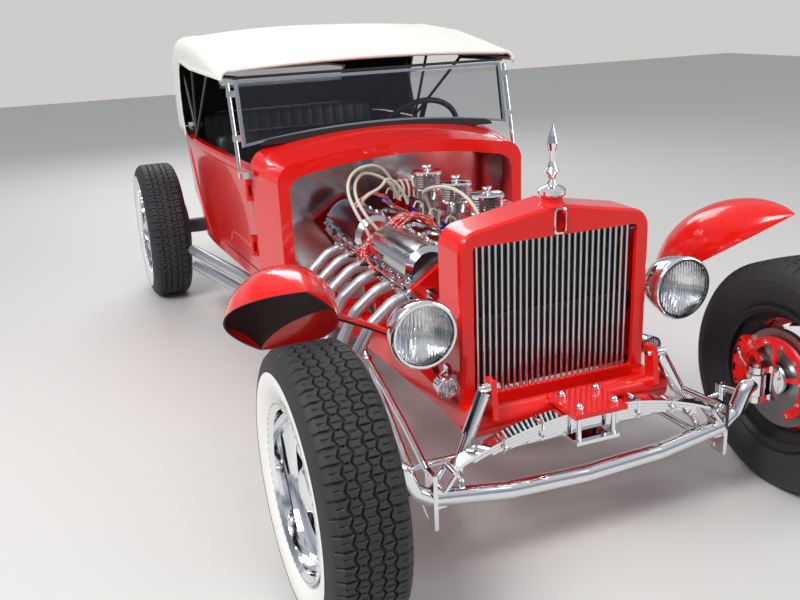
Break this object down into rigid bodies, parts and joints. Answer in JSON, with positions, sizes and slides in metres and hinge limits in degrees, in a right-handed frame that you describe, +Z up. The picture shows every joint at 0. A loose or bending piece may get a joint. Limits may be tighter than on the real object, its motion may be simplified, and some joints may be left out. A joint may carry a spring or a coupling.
{
  "type": "hot rod car",
  "caption": "Open-wheeled hot rod with an open twelve-cylinder engine, gable radiator shell, leaf-shaped front fenders, fabric top and steering front wheels.",
  "frame": {"origin": "on the ground in the middle of the wheelbase, on the car's middle plane", "axes": "the car faces -Y, its left side is +X, +Z up"},
  "size_m": [1.7402, 3.645, 1.3598],
  "materials": {
    "red_paint": "gloss red paint",
    "chrome": "polished chrome plating",
    "polished_alloy": "polished cast alloy",
    "silver_pipe": "satin silver coated pipe",
    "steel": "bare steel",
    "cast": "cast metal",
    "tyre": "black tread, wide white wall",
    "glass": "clear glass",
    "rear_pane": "clear flexible pane",
    "rubber": "black rubber",
    "leather": "black leather",
    "canvas": "white canvas, black lining",
    "black_plastic": "black",
    "red_lens": "red lens",
    "hose": "braided hose"
  },
  "bodies": {
    "knuckle_left_body": {"knuckle_left": "chrome", "caliper_left": "red_paint"},
    "knuckle_right_body": {"knuckle_right": "chrome", "caliper_right": "red_paint"},
    "tie_rod_body": {"tie_rod": "chrome"},
    "wheel_fl": {"tyre_fl": "tyre", "rim_fl": "chrome", "brake_disc_fl": "steel"},
    "wheel_fr": {"tyre_fr": "tyre", "rim_fr": "chrome", "brake_disc_fr": "steel"},
    "wheel_rl": {"tyre_rl": "tyre", "rim_rl": "chrome"},
    "wheel_rr": {"tyre_rr": "tyre", "rim_rr": "chrome"},
    "door_left_body": {"door_left": "red_paint"},
    "door_right_body": {"door_right": "red_paint"},
    "steering_wheel_body": {"steering_wheel": "black_plastic"},
    "chassis": {"air_cleaners": "chrome", "body_tub": "red_paint", "cowl": "red_paint", "cylinder_heads": "red_paint", "dashboard": "red_paint", "drivetrain": "cast", "engine_block": "red_paint", "engine_covers": "polished_alloy", "engine_hoses": "hose", "exhaust_headers": "silver_pipe", "frame": "red_paint", "front_axle": "chrome", "front_fenders": "red_paint", "front_shocks": "chrome", "front_spring": "chrome", "fuel_tank": "steel", "grille": "chrome", "headlamps": "chrome", "intake_manifold": "polished_alloy", "lamp_brackets": "chrome", "lamp_lenses": "glass", "plug_leads": "hose", "pulleys": "chrome", "radiator_cap": "chrome", "radiator_core": "cast", "radiator_shell": "red_paint", "radius_rods": "chrome", "rear_axle": "cast", "rear_coilovers": "chrome", "rear_window": "rear_pane", "seats": "leather", "side_pipes": "silver_pipe", "small_lamps": "chrome", "soft_top": "canvas", "spring_fixings": "chrome", "steering_column": "chrome", "tail_lamps": "red_lens", "top_bows": "black_plastic", "windshield_frame": "chrome", "windshield_glass": "glass", "windshield_seal": "rubber"}
  },
  "joints": [
    {"name": "steer_right", "type": "hinge", "parent": "chassis", "child": "knuckle_right_body", "pos_m": [-0.575, -1.475, 0.348], "axis": [0, 0, 1], "range_deg": [-28, 28]},
    {"name": "steer_left", "type": "hinge", "parent": "chassis", "child": "knuckle_left_body", "pos_m": [0.575, -1.475, 0.348], "axis": [0, 0, 1], "range_deg": [-28, 28]},
    {"name": "tie_rod_pivot", "type": "hinge", "parent": "knuckle_right_body", "child": "tie_rod_body", "pos_m": [-0.575, -1.337, 0.27], "axis": [0, 0, 1], "range_deg": [-28, 28]},
    {"name": "steering_wheel_turn", "type": "hinge", "parent": "chassis", "child": "steering_wheel_body", "pos_m": [0.27, 0.262, 0.89], "axis": [0, 0.8496, 0.5275], "range_deg": [-450, 450]},
    {"name": "spin_fl", "type": "hinge", "parent": "knuckle_left_body", "child": "wheel_fl", "pos_m": [0.73, -1.475, 0.3475], "axis": [1, 0, 0], "continuous": true},
    {"name": "spin_fr", "type": "hinge", "parent": "knuckle_right_body", "child": "wheel_fr", "pos_m": [-0.73, -1.475, 0.3475], "axis": [1, 0, 0], "continuous": true},
    {"name": "spin_rl", "type": "hinge", "parent": "chassis", "child": "wheel_rl", "pos_m": [0.73, 1.475, 0.3475], "axis": [1, 0, 0], "continuous": true},
    {"name": "spin_rr", "type": "hinge", "parent": "chassis", "child": "wheel_rr", "pos_m": [-0.73, 1.475, 0.3475], "axis": [1, 0, 0], "continuous": true},
    {"name": "door_left_hinge", "type": "hinge", "parent": "chassis", "child": "door_left_body", "pos_m": [0.541, 0.05925, 0.67], "axis": [0, 0, -1], "range_deg": [0, 60]},
    {"name": "door_right_hinge", "type": "hinge", "parent": "chassis", "child": "door_right_body", "pos_m": [-0.541, 0.05925, 0.67], "axis": [0, 0, 1], "range_deg": [0, 60]}
  ],
  "couplings": [
    {"joint": "steer_left", "follows": "steer_right", "ratio": 1},
    {"joint": "tie_rod_pivot", "follows": "steer_right", "ratio": -1},
    {"joint": "steering_wheel_turn", "follows": "steer_right", "ratio": -16}
  ]
}
